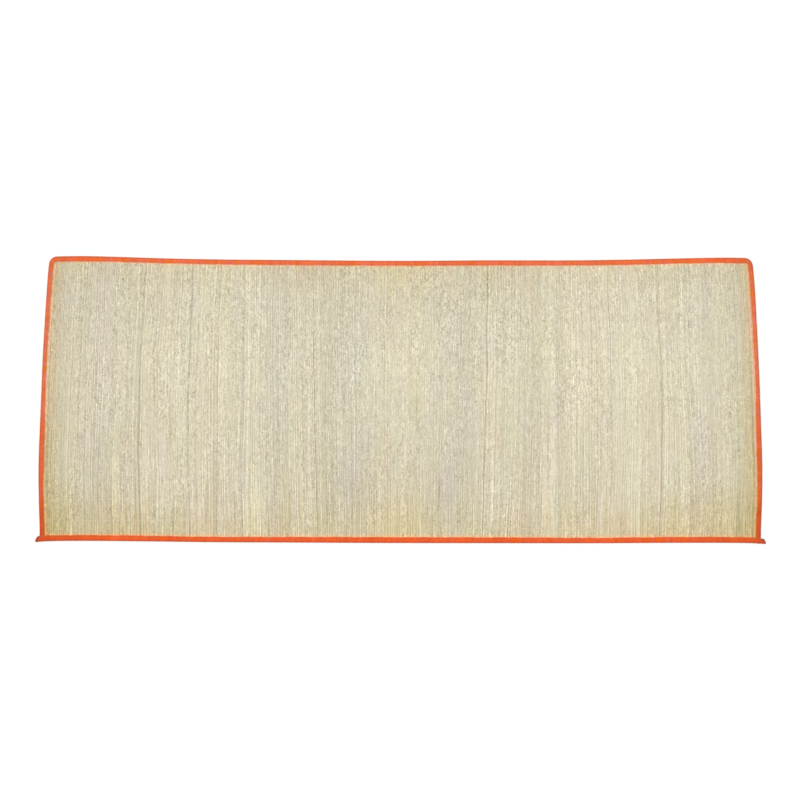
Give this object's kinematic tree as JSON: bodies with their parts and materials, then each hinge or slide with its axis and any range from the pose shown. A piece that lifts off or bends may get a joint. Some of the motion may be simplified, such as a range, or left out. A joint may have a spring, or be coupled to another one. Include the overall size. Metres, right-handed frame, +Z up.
{
  "type": "beach mat",
  "caption": "Rectangular beach mat of woven rush lying flat, its edges bound with folded orange cloth tape that ends in short tails at two corners.",
  "frame": {"origin": "middle of the footprint, on the surface that the mat lies on", "axes": "+X along the mat's length, +Y across it away from the edge with the tails, +Z up"},
  "size_m": [1.8012, 0.7254, 0.003],
  "materials": {
    "woven_rush": "matte dried rush stems woven on cotton threads",
    "orange_tape": "matte woven cotton tape"
  },
  "bodies": {
    "root": {"woven_panel": "woven_rush", "binding_sides_top": "orange_tape", "binding_bottom": "orange_tape"}
  },
  "joints": []
}
